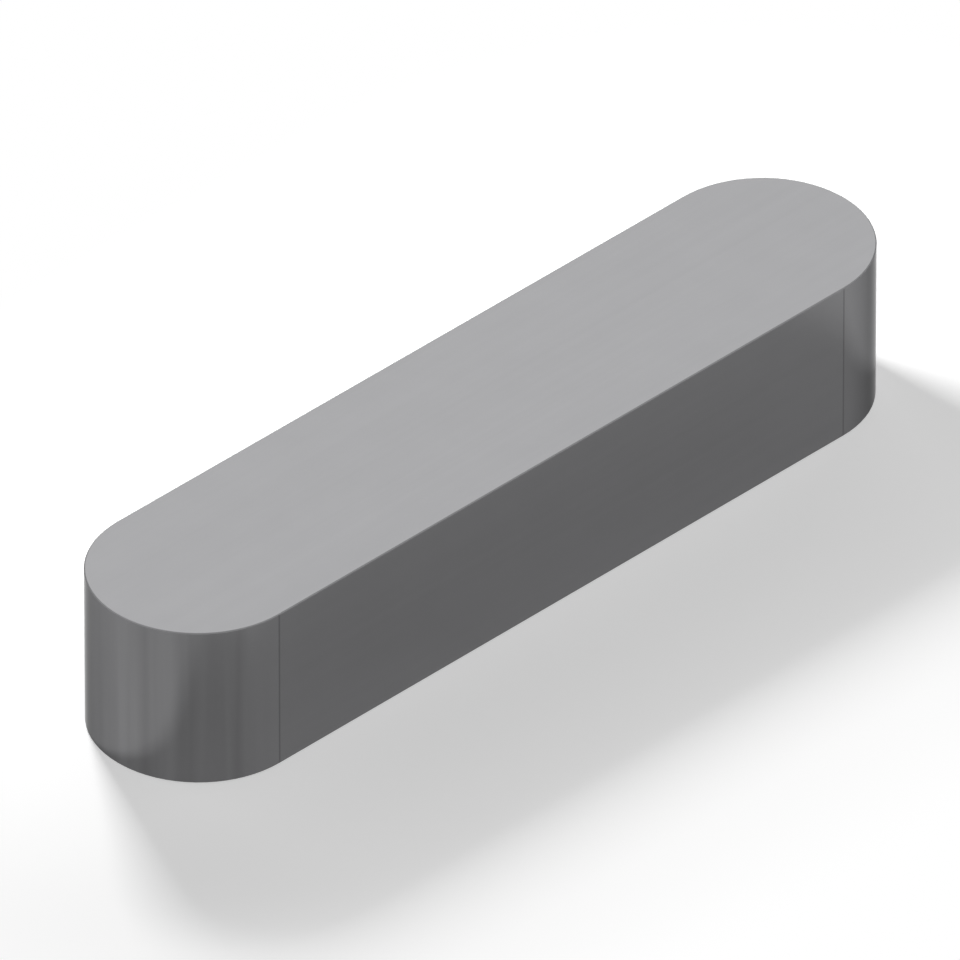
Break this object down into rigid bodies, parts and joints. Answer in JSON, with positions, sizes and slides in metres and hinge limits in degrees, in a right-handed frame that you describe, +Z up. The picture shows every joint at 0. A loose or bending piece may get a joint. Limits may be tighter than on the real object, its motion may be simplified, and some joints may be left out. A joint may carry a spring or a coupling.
{
  "type": "parallel key",
  "caption": "Plain rectangular parallel key with full-round ends, which sits in the keyways of a shaft and a hub and carries torque between them.",
  "frame": {"origin": "centre of the bottom face, the face that rests on the floor of the shaft's keyway", "axes": "+X along the key's length, +Y across its width from flank to flank, +Z up from the shaft towards the hub"},
  "size_m": [0.045, 0.01, 0.008],
  "materials": {
    "bright_steel": "satin"
  },
  "bodies": {
    "root": {"key": "bright_steel"}
  },
  "joints": []
}
